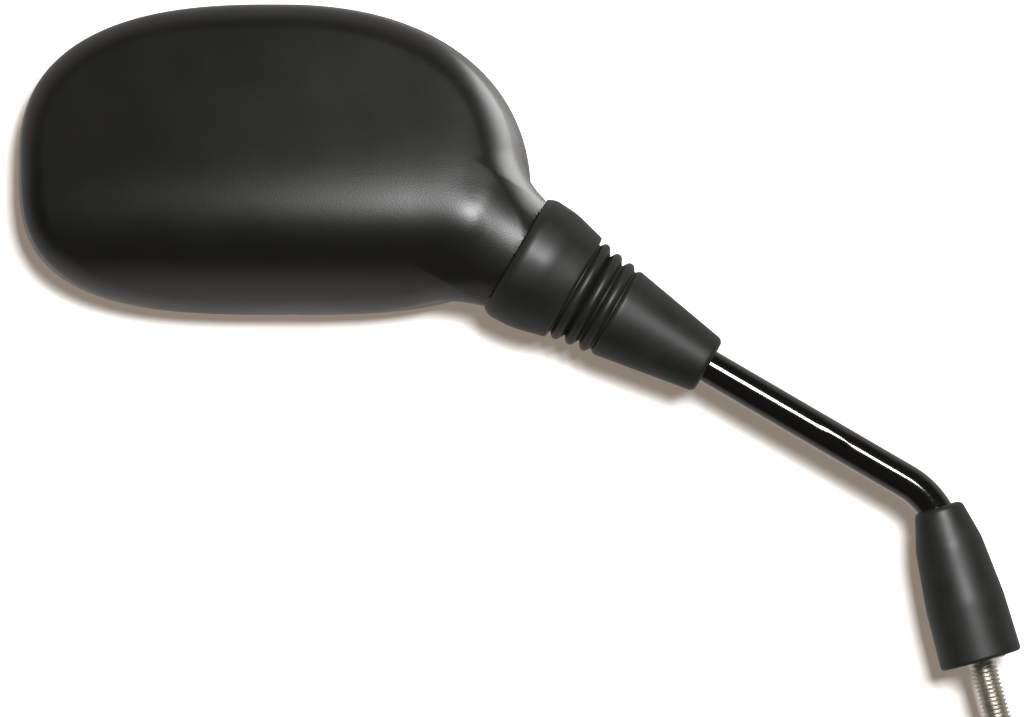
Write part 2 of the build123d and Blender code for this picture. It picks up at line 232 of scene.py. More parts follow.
class MirrorBoot(PropertyGroup):
    """Sizes of the rubber boot. Heights run from its top downwards."""

    collar: small("Collar", "Largest diameter of the collar", 39.4)
    collar_length: small("Collar length", "Length of the smooth collar", 19.8)
    collar_top_inset: small("Collar top inset", "How far the collar's top draws in", 1.2)
    collar_swell: small("Collar swell", "Distance from the top to the widest place", 2.6)
    collar_fall: small("Collar fall", "How far the collar's middle draws in", 0.4)
    collar_end: small("Collar end", "Diameter at the collar's foot", 33.6)
    top_rounding: small("Top rounding", "Rounding of the collar's top", 1.2)
    swell_rounding: small("Swell rounding", "Rounding at the collar's widest place", 5.0)
    middle_rounding: small("Middle rounding", "Rounding of the collar's middle", 20.0)
    foot_rounding: small("Foot rounding", "Rounding of the collar's foot", 1.0)
    first_fold: small("First fold", "Diameter of the fold next to the collar", 32.4)
    last_fold: small("Last fold", "Diameter of the fold next to the cone", 29.4)
    fold_count: IntProperty(name="Folds", description="Number of folds", default=3, min=2)
    collar_folds: IntProperty(name="Collar folds", description="Folds on the collar", default=1, min=1)
    fold_pitch: small("Fold pitch", "Distance between folds", 4.4)
    fold_depth: small("Fold depth", "Depth of the grooves between folds", 2.2)
    fold_rounding: small("Fold rounding", "Radius of a fold's crest", 1.5)
    fold_point: share("Fold point", "How far a fold's unrounded corner stands out, in crest radii", 0.9)
    groove: small("Groove", "Half width of a groove's foot", 0.3)
    groove_rounding: small("Groove rounding", "Rounding of a groove's foot", 0.3)
    cone: small("Cone", "Diameter of the cone's wide end", 28.4)
    cone_end: small("Cone end", "Diameter of the cone's narrow end", 17.4)
    cone_grip: small("Cone grip", "Length that grips the stem", 9.0)
    cone_rounding: small("Cone rounding", "Rounding of the cone's wide end", 1.6)
    lip_rounding: small("Lip rounding", "Rounding of the cone's narrow end", 2.0)
    spigot: small("Spigot", "Diameter of the bore on the neck", 28.5)
    seat: small("Seat", "Height of the seat under the bore", 1.5)
    wall: small("Wall", "Thickness of the rubber at the folds", 2.0)
    bend_end: small("Bend end", "How far above the collar's foot the bend ends", 2.0)


class MirrorStem(PropertyGroup):
    """Sizes of the painted stem."""

    bend_radius: small("Bend radius", "Radius of the bend at the rod's middle", 25.0)
    pin: small("Pin", "Diameter of the pin in the ball", 7.0)
    chamfer: small("Chamfer", "Chamfer of the foot", 0.8)
    lump_place: small("Paint lump", "Distance of the paint lump from the bend's corner", 35.0)
    lump_length: small("Lump length", "Length of the paint lump", 9.0)
    lump_height: small("Lump height", "Height of the paint lump", 0.16)
    lump_turn: angle("Lump turn", "Angle from the front to the lump", 24.0)
    lump_width: angle("Lump width", "Half the angle that the lump covers", 22.0)


class MirrorAdapter(PropertyGroup):
    """Sizes of the threaded adapter."""

    stud: small("Stud", "Outer diameter of the stud's thread", 8.0)
    pitch: small("Pitch", "Pitch of the stud's thread", 1.25)
    thread_depth: small("Thread depth", "Depth of the stud's thread", 0.72)
    thread_crest: share("Thread crest", "Width of the crest on a flank's scale", 0.2)
    thread_flank: number("Thread flank", "Steepness of the thread's flanks", 1.35)
    runout: small("Runout", "Plain length under the hexagon", 1.6)
    tip: small("Tip", "Chamfer of the stud's tip", 1.0)
    bore: small("Bore", "Diameter of the stem's bore", 10.1)
    floor: small("Floor", "Height of the bore's floor", 3.5)
    corner_slope: angle("Corner slope", "Slope of the chamfer on the hexagon's corners", 30.0)


class MirrorStudio(PropertyGroup):
    """Camera, lights and backdrop."""

    distance: length("Camera distance", "Distance from the camera to the mirror", 4.0)
    frame_width: length("Frame width", "Width that the picture shows", 0.30118)
    look_x: length("Look X", "Where the camera looks, outboard of the stud", 0.1087)
    look_z: length("Look Z", "Where the camera looks, above the mounting plane", 0.1235)
    roll: angle("Roll", "Angle between the stud and the picture's side", 15.79)
    key_power: watts("Key power", "Power of the main light", 28.0)
    key_size: length("Key size", "Width of the main light", 0.40)
    key_rise: angle("Key rise", "Angle of the main light from the line of sight", 24.0)
    key_turn: angle("Key turn", "Direction of the main light, from the picture's top to its right", 30.0)
    key_distance: length("Key distance", "Distance of the main light", 1.5)
    side_power: watts("Side power", "Power of the light on the housing's side", 1.15)
    side_size: length("Side size", "Width of the side light", 0.25)
    side_right: length("Side right", "Distance of the side light right of the picture's middle", 0.28)
    side_up: length("Side up", "Height of the side light above the picture's middle", 0.25)
    side_back: length("Side back", "Distance of the side light behind the mirror", 0.23)
    room_tint: colour("Room tint", "Colour of the light from all round", (1.0, 0.97, 0.92))
    surround: share("Surround", "Brightness of the room in front of the mirror", 0.05)
    table_glow: share("Table glow", "Brightness of the white table behind", 0.5)
    table_end: number("Table end", "Heading, from -1 behind to 1 in front, where the table ends", -0.35)
    room_start: number("Room start", "Heading, on the same scale, where the dim room starts", 0.25)
    white: number("White", "Brightness of the white that the camera sees", 1.02)
    paper: share("Paper", "Grey of the backdrop", 0.2)
    paper_size: length("Backdrop size", "Width of the backdrop", 1.2)
    paper_depth: small("Backdrop depth", "Distance from the stud to the backdrop behind it", 75.0)
    shade: colour("Shade", "Colour of the backdrop in the mirror's shadow", (0.25, 0.202, 0.162))
    shade_power: watts("Shade power", "Power of the light that casts the shadow", 1200.0)
    shade_shift: small("Shade shift", "How far the shadow lies from the mirror", 7.2)
    shade_turn: angle("Shade turn", "Direction of the shadow, from the picture's left downwards", 50.0)
    shade_blur: small("Shade blur", "Width of the shadow's soft border", 6.0)


def smooth_step(value):
    """Ease from 0 to 1."""
    value = np.clip(value, 0, 1)
    return value * value * (3 - 2 * value)


def rounded(corners, steps=10):
    """Closed profile of (radius, height, rounding) corners, with arcs at the rounded ones."""
    profile = []
    for i, (radius, height, rounding) in enumerate(corners):
        corner = Vector((radius, height))
        if not rounding:
            profile.append(corner)
            continue
        before = (Vector(corners[i - 1][:2]) - corner).normalized()
        after = (Vector(corners[(i + 1) % len(corners)][:2]) - corner).normalized()
        half = before.angle(after) / 2
        centre = corner + (before + after).normalized() * (rounding / math.sin(half))
        start = corner + before * (rounding / math.tan(half)) - centre
        turn = math.copysign(math.pi - 2 * half, before.angle_signed(after))
        profile += [centre + Matrix.Rotation(turn * k / steps, 2) @ start for k in range(steps + 1)]
    return profile


def divided(profile, step=1.2 * MM):
    """Closed profile with its long runs cut into steps."""
    points = []
    for i, point in enumerate(profile):
        follows = profile[(i + 1) % len(profile)]
        cuts = max(1, round((follows - point).length / step))
        points += [point.lerp(follows, k / cuts) for k in range(cuts)]
    return points


def add_piece(name, points, faces, sharp=None):
    """Object of a closed mesh, smooth but for edges that turn by more than a sharp angle."""
    shape = bmesh.new()
    corners = [shape.verts.new(point) for point in points]
    for face in faces:
        shape.faces.new([corners[i] for i in face])
    bmesh.ops.remove_doubles(shape, verts=shape.verts, dist=SAME_PLACE)
    bmesh.ops.recalc_face_normals(shape, faces=shape.faces)
    mesh = bpy.data.meshes.new(name)
    shape.to_mesh(mesh)
    shape.free()
    mesh.shade_smooth()
    if sharp is not None:
        mesh.set_sharp_from_angle(angle=sharp)
    piece = bpy.data.objects.new(name, mesh)
    bpy.context.scene.collection.objects.link(piece)
    return piece


def ringed(name, rings, sharp=None, closed=False):
    """Object of quads between rings of points, which ends in fans unless its rings close on themselves."""
    sides = max(len(ring) for ring in rings)
    starts = np.cumsum([0] + [len(ring) for ring in rings])
    pairs = [(k, k + 1) for k in range(len(rings) - 1)]
    if closed:
        pairs.append((len(rings) - 1, 0))
    faces = []
    for low, high in pairs:
        for i in range(sides):
            around = [(low, i), (low, i + 1), (high, i + 1), (high, i)]
            corners = [int(starts[row]) + k % len(rings[row]) for row, k in around]
            faces.append(list(dict.fromkeys(corners)))
    return add_piece(name, [point for ring in rings for point in ring], faces, sharp)


def turned(name, profile, place, sides=128):
    """Object turned from a closed profile about the Z axis of a frame."""
    turns = [2 * math.pi * i / sides for i in range(sides)]
    rings = []
    for radius, height in profile:
        ring = [Vector((radius * math.cos(turn), radius * math.sin(turn), height)) for turn in turns]
        rings.append([place @ point for point in ring])
    return ringed(name, rings, closed=True)


def make_node(tree, kind, sockets, **settings):
    """Node with its settings, and its sockets set to values or linked to other nodes' sockets."""
    node = tree.nodes.new("ShaderNode" + kind)
    for name, value in settings.items():
        setattr(node, name, value)
    for name, value in sockets.items():
        if isinstance(value, bpy.types.NodeSocket):
            tree.links.new(value, node.inputs[name])
        else:
            node.inputs[name].default_value = value
    return node


def start_material(name):
    """New material, its tree and the socket of its object coordinates in metres."""
    material = bpy.data.materials.new(name)
    material.use_nodes = True
    tree = material.node_tree
    tree.nodes.clear()
    place = make_node(tree, "TexCoord", {}).outputs["Object"]
    return material, tree, place


def end_material(material, **sockets):
    """Material with the given sockets on its surface shader."""
    tree = material.node_tree
    names = {name.replace("_", " ").title(): value for name, value in sockets.items()}
    shader = make_node(tree, "BsdfPrincipled", names)
    make_node(tree, "OutputMaterial", {"Surface": shader.outputs["BSDF"]})
    return material


def noise(tree, place, size, detail=2.0):
    """Cloudy pattern of a given size in metres."""
    sockets = {"Vector": place, "Scale": 1 / size, "Detail": detail}
    return make_node(tree, "TexNoise", sockets).outputs["Fac"]


def ranged(tree, value, low, high):
    """Pattern spread between two numbers."""
    sockets = {"Value": value, "From Min": NOISE_LOW, "From Max": NOISE_HIGH, "To Min": low, "To Max": high}
    return make_node(tree, "MapRange", sockets).outputs["Result"]


def mottled(tree, value, tint, spread):
    """Colour that a pattern makes darker and lighter by a share."""
    ramp = make_node(tree, "ValToRGB", {"Fac": value})
    ends = ramp.color_ramp.elements
    for end, place, gain in ((ends[0], NOISE_LOW, 1 - spread), (ends[1], NOISE_HIGH, 1 + spread)):
        end.position = place
        end.color = [min(channel * gain, 1.0) for channel in tint] + [1.0]
    return ramp.outputs["Color"]


def bumped(tree, height, depth, under=None):
    """Surface normal with a pattern of a given depth in metres."""
    sockets = {"Height": height, "Distance": depth, "Strength": 1.0}
    if under is not None:
        sockets["Normal"] = under
    return make_node(tree, "Bump", sockets).outputs["Normal"]


def housing_plastic(finishes):
    """Black moulded plastic with a fine leather-like grain."""
    material, tree, place = start_material("housing_plastic")
    sockets = {"Vector": place, "Scale": 1 / finishes.grain, "Randomness": 1.0}
    cells = make_node(tree, "TexVoronoi", sockets).outputs["Distance"]
    pores = noise(tree, place, size=finishes.grain / 2)
    clouds = noise(tree, place, size=25 * MM)
    grained = bumped(tree, cells, depth=finishes.grain_depth)
    rough = finishes.housing_roughness
    return end_material(
        material,
        base_color=mottled(tree, clouds, finishes.housing, spread=0.12),
        roughness=ranged(tree, clouds, low=rough - 0.02, high=rough + 0.03),
        normal=bumped(tree, pores, depth=finishes.grain_depth / 2, under=grained),
    )


def black_rubber(finishes):
    """Matt black rubber with a dusty bloom, which the boot and the nut cover share."""
    made = bpy.data.materials.get("black_rubber")
    if made:
        return made
    material, tree, place = start_material("black_rubber")
    bloom = noise(tree, place, size=9 * MM, detail=4.0)
    pores = noise(tree, place, size=0.35 * MM)
    rough = finishes.rubber_roughness
    return end_material(
        material,
        base_color=mottled(tree, bloom, finishes.rubber, spread=0.18),
        roughness=ranged(tree, bloom, low=rough - 0.04, high=rough + 0.06),
        normal=bumped(tree, pores, depth=0.004 * MM),
    )


def stem_paint(finishes):
    """Gloss black paint, a little wavy on its rod."""
    material, tree, place = start_material("stem_paint")
    waves = noise(tree, place, size=7 * MM)
    specks = noise(tree, place, size=0.8 * MM)
    wavy = bumped(tree, waves, depth=0.05 * MM)
    return end_material(
        material,
        base_color=mottled(tree, waves, finishes.paint, spread=0.1),
        roughness=ranged(tree, specks, low=0.08, high=0.14),
        normal=bumped(tree, specks, depth=0.004 * MM, under=wavy),
        coat_weight=0.6,
        coat_roughness=0.06,
    )


def plated_metal(name, tint, rough):
    """Metal with faint brush marks and stains, which all pieces of its name share."""
    made = bpy.data.materials.get(name)
    if made:
        return made
    material, tree, place = start_material(name)
    brushed = {"Vector": place, "Scale": (1.0, 1.0, 14.0)}
    marks = noise(tree, make_node(tree, "Mapping", brushed).outputs["Vector"], size=2.5 * MM, detail=3.0)
    stains = noise(tree, place, size=4 * MM)
    return end_material(
        material,
        base_color=mottled(tree, stains, tint, spread=0.1),
        metallic=1.0,
        roughness=ranged(tree, marks, low=rough - 0.05, high=rough + 0.08),
        normal=bumped(tree, marks, depth=0.01 * MM),
    )


def bright_zinc(finishes):
    """Zinc plate of the stud, the nut and the screws."""
    return plated_metal("bright_zinc", finishes.zinc, rough=0.32)


def oiled_steel(finishes):
    """Spring steel of the washer and the disc springs."""
    return plated_metal("oiled_steel", finishes.spring_steel, rough=0.38)


def bearing_plastic(finishes):
    """Natural white moulded plastic, greasy in places."""
    material, tree, place = start_material("bearing_plastic")
    grease = noise(tree, place, size=5 * MM)
    return end_material(
        material,
        base_color=mottled(tree, grease, finishes.bearing, spread=0.05),
        roughness=ranged(tree, grease, low=0.25, high=0.45),
        normal=bumped(tree, noise(tree, place, size=0.6 * MM), depth=0.01 * MM),
    )


def mirror_coat(finishes):
    """Silvered glass with the faintest waviness."""
    material, tree, place = start_material("mirror_coat")
    waves = noise(tree, place, size=30 * MM)
    return end_material(
        material,
        base_color=mottled(tree, waves, finishes.silver, spread=0.01),
        metallic=1.0,
        roughness=ranged(tree, waves, low=0.01, high=0.03),
        normal=bumped(tree, waves, depth=0.01 * MM),
    )


def closed_cell_foam(finishes):
    """Dark foam sheet with open pores on its cut face."""
    material, tree, place = start_material("foam")
    pore = 0.7 * MM
    cells = make_node(tree, "TexVoronoi", {"Vector": place, "Scale": 1 / pore}).outputs["Distance"]
    return end_material(
        material,
        base_color=mottled(tree, cells, finishes.foam, spread=0.3),
        roughness=ranged(tree, cells, low=0.8, high=0.95),
        normal=bumped(tree, cells, depth=0.2 * MM),
    )


def finish_nodes(material, *nodes):
    """Put a material on CAD nodes."""
    for node in nodes:
        mesh = frame["nodes"][node].data
        mesh.materials.clear()
        mesh.materials.append(material)


def finish_piece(piece, material):
    """Put a material on a piece."""
    piece.data.materials.append(material)


def round_max(a, b, radius):
    """Higher of two distances, rounded where they meet at an outer edge."""
    corner = np.hypot(np.maximum(a + radius, 0), np.maximum(b + radius, 0))
    return np.minimum(np.maximum(a, b), -radius) + corner


def round_min(a, b, radius):
    """Lower of two distances, rounded where they meet in an inner corner."""
    return -round_max(-a, -b, radius)


def all_of(*distances):
    """Distance from the shape that lies inside all the given ones."""
    return np.maximum.reduce(distances)


def rim_distance(housing, x, y):
    """Distance from the rim's outline, below zero inside it, and the share by which it faces inboard."""
    out = x > housing.middle
    widest = np.where(out, housing.outboard_height, housing.inboard_height)
    upper = y > widest
    half_width = np.where(out, housing.outboard, housing.inboard)
    half_height = np.where(upper, housing.top - widest, widest - housing.bottom)
    tops = np.where(out, housing.outboard_top, housing.inboard_top)
    feet = np.where(out, housing.outboard_foot, housing.inboard_foot)
    square = np.where(upper, tops, feet)

    # The shares of the way out never reach zero, where the outline's slope has no direction
    least = 1e-6
    sideways = np.maximum(np.abs(x - housing.middle) / half_width, least)
    upwards = np.maximum(np.abs(y - widest) / half_height, least)
    level = (sideways**square + upwards**square) ** (1 / square)
    slope_x = sideways ** (square - 1) / half_width
    steep = np.hypot(slope_x, upwards ** (square - 1) / half_height)
    facing = np.where(out, 0, slope_x / steep)
    return (level - 1) / (steep * level ** (1 - square)), facing


def neck_place(housing, x, y):
    """Distance along the neck's axis and aside of it, and the neck's radius there."""
    run = x * math.cos(housing.neck_angle) + y * math.sin(housing.neck_angle)
    aside = y * math.cos(housing.neck_angle) - x * math.sin(housing.neck_angle)
    flare = math.tan(housing.neck_flare) * (run - housing.neck_start)
    closing = np.maximum(run - housing.neck_turn, 0) ** 2 / (2 * housing.neck_close)
    return run, aside, housing.neck / 2 + flare - closing


def back_depth(housing, x, y):
    """Depth of the back behind the rim plane, away from its edge, where it flows into the neck."""
    out = np.maximum(x - housing.ridge_x, 0) / (housing.middle + housing.outboard - housing.ridge_x)
    fall_start = housing.middle - housing.inboard + housing.fall_width
    near = np.maximum(fall_start - x, 0) / housing.fall_width
    below = np.maximum(housing.ridge_y - y, 0) / (housing.ridge_y - housing.bottom)
    above = housing.ridge_softness * np.logaddexp(0, (y - housing.ridge_y) / housing.ridge_softness)
    crown = housing.depth - math.tan(housing.facet) * above - housing.fall_outboard * out**2
    crown -= housing.fall_inboard * near**housing.fall_power
    crown -= housing.fall_bottom * below**housing.fall_power
    _, aside, radius = neck_place(housing, x, y)
    aside = np.abs(aside)
    crest = housing.neck_crest * radius
    drop = np.maximum(aside - crest, 0) * housing.neck_crest / math.sqrt(1 - housing.neck_crest**2)
    arch = housing.rim + np.sign(radius) * np.sqrt(radius**2 - np.minimum(aside**2, crest**2)) - drop
    return housing.neck_blend * np.logaddexp(crown / housing.neck_blend, arch / housing.neck_blend)


def back_distance(housing, x, y, behind):
    """Distance from the back's surface, below zero before it, and the share by which it faces backwards."""
    step = 0.1 * MM
    depth = back_depth(housing, x, y)
    slopes = [(back_depth(housing, x + dx, y + dy) - depth) / step for dx, dy in ((step, 0), (0, step))]
    facing = 1 / np.sqrt(1 + slopes[0] ** 2 + slopes[1] ** 2)
    return (behind - depth) * facing, facing


def housing_distance(housing, points):
    """Distance of points from the housing's surface, below zero inside it."""
    x, y, z = points.T
    behind = housing.rim - z
    edge, facing = rim_distance(housing, x, y)
    run, aside, radius = neck_place(housing, x, y)
    off = np.hypot(aside, z)

    # Sides that lean in, more so at the shoulder, and that step out where the back covers the neck
    softness = housing.shoulder_softness
    past = softness * np.logaddexp(0, (behind - housing.shoulder_start) / softness)
    inboard = facing**2 * smooth_step((y - housing.shoulder_foot) / housing.shoulder_fade)
    side = edge + math.tan(housing.draft) * behind + math.tan(housing.shoulder) * inboard * past
    over_neck = np.exp(-((aside / housing.neck_cover_width) ** 2))
    over_neck *= np.clip(2 * radius / housing.neck, 0, 1) * smooth_step(2 * behind / housing.rim - 1)
    side -= housing.neck_cover * over_neck

    # Head and neck
    back, level = back_distance(housing, x, y, behind)
    head = round_max(side, back, housing.edge * level)
    flank = np.minimum(np.abs(aside) / (housing.neck / 2), 1) ** 2
    body = round_min(head, off - radius, housing.neck_seam + housing.neck_corner * flank)
    body = all_of(body, -behind, housing.neck_start - run)
    spigot = all_of(off - housing.spigot / 2, housing.spigot_end - run, run - housing.neck_start - OVERLAP)

    # Room for the ball, the glass and its pad, and the drain
    bore = all_of(off - housing.socket / 2, run - housing.socket_end)
    opening = all_of(edge + housing.wall + housing.lip_width, behind - housing.lip - OVERLAP)
    end_wall = housing.neck_start + housing.wall / 2 - run
    room = all_of(edge + housing.wall, housing.lip - behind, behind - housing.room, end_wall)
    pad = all_of(edge + housing.pad_inset, housing.lip - behind, behind - housing.pad_room)
    slot = np.abs(x - housing.middle - housing.drain_offset) - housing.drain / 2
    drain = all_of(slot, y - housing.bottom - housing.wall - OVERLAP, behind - housing.drain_depth)
    return all_of(np.minimum(body, spigot), -bore, -opening, -room, -pad, -drain)


def steepest(field, points, step=0.01 * MM):
    """Gradient of a field at points."""
    shifts = np.eye(3) * step
    rises = [field(points + shift) - field(points - shift) for shift in shifts]
    return np.stack(rises, axis=-1) / (2 * step)


def contoured(name, field, low, high, size, place, sharp):
    """Object on a field's zero surface, which keeps its sharp edges, between two corners of a frame."""
    # Where the grid's edges cross the surface, and a quad of the four cells around each such edge
    low = np.array(low)
    counts = np.ceil((np.array(high) - low) / size).astype(int) + 1
    grid = np.stack(np.meshgrid(*[np.arange(count) for count in counts], indexing="ij"), axis=-1)
    values = field(low + size * grid.reshape(-1, 3)).reshape(counts)
    owners, spots, quads = [], [], []
    for axis in range(3):
        ahead = np.roll(values, -1, axis)
        crossed = (values < 0) != (ahead < 0)
        for other in range(3):
            crossed[(slice(None),) * other + ((0, -1),)] = False
        corners = np.argwhere(crossed)
        crossing = values[crossed] / (values[crossed] - ahead[crossed])
        spots.append(low + size * (corners + crossing[:, None] * np.eye(3)[axis]))
        first, second = np.eye(3, dtype=int)[[axis - 2, axis - 1]]
        cells = [corners, corners - first, corners - first - second, corners - second]
        around = np.stack([np.ravel_multi_index(cell.T, counts) for cell in cells], axis=-1)
        owners.append(around)
        quads.append(np.where((values[crossed] < 0)[:, None], around, around[:, ::-1]))
    owners, spots, quads = np.concatenate(owners), np.concatenate(spots), np.concatenate(quads)

    # One point in each cell, near the planes at the cell's crossings and held towards their middle
    normals = steepest(field, spots)
    normals /= np.linalg.norm(normals, axis=-1, keepdims=True)
    cells, members = np.unique(owners, return_inverse=True)
    members = members.reshape(owners.shape)
    sums = np.zeros((len(cells), 3, 3))
    pulls = np.zeros((len(cells), 3))
    middles = np.zeros((len(cells), 4))
    for column in members.T:
        np.add.at(sums, column, normals[:, :, None] * normals[:, None, :])
        np.add.at(pulls, column, normals * (normals * spots).sum(-1, keepdims=True))
        np.add.at(middles, column, np.column_stack([spots, np.ones(len(spots))]))
    middles = middles[:, :3] / middles[:, 3:]
    hold = 0.05
    pulls += hold * middles
    points = np.linalg.solve(sums + hold * np.eye(3), pulls[:, :, None])[:, :, 0]
    base = low + size * np.stack(np.unravel_index(cells, counts), axis=-1)
    points = np.clip(points, base, base + size)
    faces = np.searchsorted(cells, quads).tolist()
    return add_piece(name, [place @ Vector(point) for point in points], faces, sharp)


def make_housing(housing):
    """Moulded head with its neck, its spigot and the room for the glass."""
    outboard = Matrix.Rotation(housing.neck_angle, 3, forward) @ along
    head = axes_at(ball, outboard, -forward.cross(outboard), -forward)
    spigot_room = 9 * MM
    margin = 3 * MM
    end = housing.middle + housing.outboard
    low = (-spigot_room, housing.bottom - margin, housing.rim - housing.depth - margin)
    high = (end + margin, housing.top + margin, housing.rim + margin)

    def distance(points):
        return housing_distance(housing, points)

    sharp = math.radians(40)
    return contoured("moulded_housing", distance, low, high, housing.detail, head, sharp)


class MIRROR_OT_housing(Operator):
    """Mould the housing and give it its grained plastic"""

    bl_idname = "mirror.housing"
    bl_label = "Housing"
    bl_options = {"REGISTER", "UNDO"}

    def execute(self, context):
        scene = context.scene
        piece = make_housing(scene.mirror_housing)
        finish_piece(piece, housing_plastic(scene.mirror_finishes))
        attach(piece, "head")
        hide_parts("housing")
        return {"FINISHED"}


class MIRROR_OT_glass(Operator):
    """Silver the glass and give the foam behind it its cells"""

    bl_idname = "mirror.glass"
    bl_label = "Glass and foam"
    bl_options = {"REGISTER", "UNDO"}

    def execute(self, context):
        finishes = context.scene.mirror_finishes
        finish_nodes(mirror_coat(finishes), "mirror_glass")
        finish_nodes(closed_cell_foam(finishes), "foam_pad")
        return {"FINISHED"}


def boot_grooves(boot):
    """Heights of the grooves between the collar, the folds and the cone."""
    first = boot_high - boot.collar_length - boot.groove
    return [first - boot.fold_pitch * i for i in range(boot.fold_count + 1)]


def fold_radius(boot, i):
    """Radius of a fold's crest, counted from the collar's side."""
    first, last = boot.first_fold / 2, boot.last_fold / 2
    return first + (last - first) * i / (boot.fold_count - 1)


def groove_radius(boot, i):
    """Radius of the groove above a fold."""
    return fold_radius(boot, i) - boot.fold_depth


def fold_corners(boot, folds):
    """Outside corners of some folds, groove by groove, down the boot."""
    grooves = boot_grooves(boot)
    corners = []
    for i in folds:
        point = fold_radius(boot, i) + boot.fold_point * boot.fold_rounding
        corners.append((groove_radius(boot, i), grooves[i], boot.groove_rounding))
        corners.append((point, grooves[i] - boot.fold_pitch / 2, boot.fold_rounding))
    return corners


def make_boot_collar(boot):
    """Collar on the neck, with its folds."""
    split = boot_grooves(boot)[boot.collar_folds]
    waist = groove_radius(boot, boot.collar_folds)
    foot = boot_high - boot.collar_length
    bore = boot.spigot / 2
    widest = boot.collar / 2
    corners = [(widest - boot.collar_top_inset, boot_high, boot.top_rounding)]
    corners += [(widest, boot_high - boot.collar_swell, boot.swell_rounding)]
    corners += [(widest - boot.collar_fall, (boot_high + foot) / 2, boot.middle_rounding)]
    corners += [(boot.collar_end / 2, foot, boot.foot_rounding)]
    corners += fold_corners(boot, range(boot.collar_folds))
    corners += [(waist, split, 0), (waist - boot.wall, split, 0)]
    corners += [(groove_radius(boot, 0) - boot.wall, foot, 0)]
    corners += [(bore, foot + boot.seat, 0), (bore, boot_high, 0)]
    return turned("boot_collar", divided(rounded(corners)), neck)


def make_boot_cone(boot):
    """Cone on the stem, with the other folds."""
    grooves = boot_grooves(boot)
    split = grooves[boot.collar_folds]
    waist = groove_radius(boot, boot.collar_folds)
    last_waist = groove_radius(boot, boot.fold_count - 1)
    cone_start = grooves[-1] - boot.groove
    corners = [(waist - boot.wall, split, 0), (waist, split, 0)]
    corners += fold_corners(boot, range(boot.collar_folds, boot.fold_count))[1:]
    corners += [(last_waist, grooves[-1], boot.groove_rounding)]
    corners += [(boot.cone / 2, cone_start, boot.cone_rounding)]
    corners += [(boot.cone_end / 2, boot_low, boot.lip_rounding)]
    corners += [(stem_radius, boot_low, 0), (stem_radius, boot_low + boot.cone_grip, 0)]
    corners += [(last_waist - boot.wall, cone_start, 0)]
    return turned("boot_cone", divided(rounded(corners)), neck)


class MIRROR_OT_boot(Operator):
    """Turn the rubber boot's collar and cone, with their folds"""

    bl_idname = "mirror.boot"
    bl_label = "Rubber boot"
    bl_options = {"REGISTER", "UNDO"}

    def execute(self, context):
        scene = context.scene
        boot = scene.mirror_boot
        collar = make_boot_collar(boot)
        cone = make_boot_cone(boot)
        for piece in (collar, cone):
            finish_piece(piece, black_rubber(scene.mirror_finishes))
            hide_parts("bellows_boot")
        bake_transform(cone)
        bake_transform(collar)
        return {"FINISHED"}


def stem_stations(stem, bend_steps=24, step=0.5 * MM):
    """Points along the stem's middle, with the direction and the radius at each."""
    bend = up.angle(along)
    setback = stem.bend_radius * math.tan(bend / 2)
    foot = Vector((0, 0, stem_low.z))
    stations = [(foot, up, stem_radius - stem.chamfer), (foot + up * stem.chamfer, up, stem_radius)]
    centre = bend_corner - up * setback + Vector((stem.bend_radius, 0, 0))
    for k in range(bend_steps + 1):
        turn = bend * k / bend_steps
        outwards = Vector((-math.cos(turn), 0, math.sin(turn)))
        heading = Vector((math.sin(turn), 0, math.cos(turn)))
        stations.append((centre + outwards * stem.bend_radius, heading, stem_radius))
    start = bend_corner + along * setback
    end = ball - along * math.sqrt(ball_radius**2 - stem_radius**2)
    runs = round((end - start).length / step)
    stations += [(start.lerp(end, k / runs), along, stem_radius) for k in range(1, runs + 1)]
    return stations + [(end, along, stem.pin / 2), (ball + along * ball_high, along, stem.pin / 2)]


def make_stem(stem, sides=96):
    """Bent rod with the run of paint that dried on its front."""
    lump = bend_corner + along * stem.lump_place
    stations = stem_stations(stem)
    rings = [[stations[0][0]]]
    for middle, heading, radius in stations:
        side = heading.cross(forward)
        off = (middle - lump).dot(along) / (stem.lump_length / 2)
        ring = []
        for i in range(sides):
            turn = 2 * math.pi * i / sides
            aside = (turn - stem.lump_turn) / stem.lump_width
            swell = stem.lump_height * math.exp(-(off**4) - aside**2)
            outwards = forward * math.cos(turn) + side * math.sin(turn)
            ring.append(middle + outwards * (radius + swell))
        rings.append(ring)
    rings.append([stations[-1][0]])
    return ringed("painted_stem", rings, sharp=math.radians(35))


class MIRROR_OT_stem(Operator):
    """Sweep the painted stem along its bend"""

    bl_idname = "mirror.stem"
    bl_label = "Stem"
    bl_options = {"REGISTER", "UNDO"}

    def execute(self, context):
        scene = context.scene
        piece = make_stem(scene.mirror_stem)
        finish_piece(piece, stem_paint(scene.mirror_finishes))
        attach(piece, "stem")
        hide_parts("stem")
        return {"FINISHED"}


class MIRROR_OT_cover(Operator):
    """Give the cover over the lock nut its rubber"""

    bl_idname = "mirror.cover"
    bl_label = "Nut cover"
    bl_options = {"REGISTER", "UNDO"}

    def execute(self, context):
        finish_nodes(black_rubber(context.scene.mirror_finishes), "nut_cover")
        return {"FINISHED"}


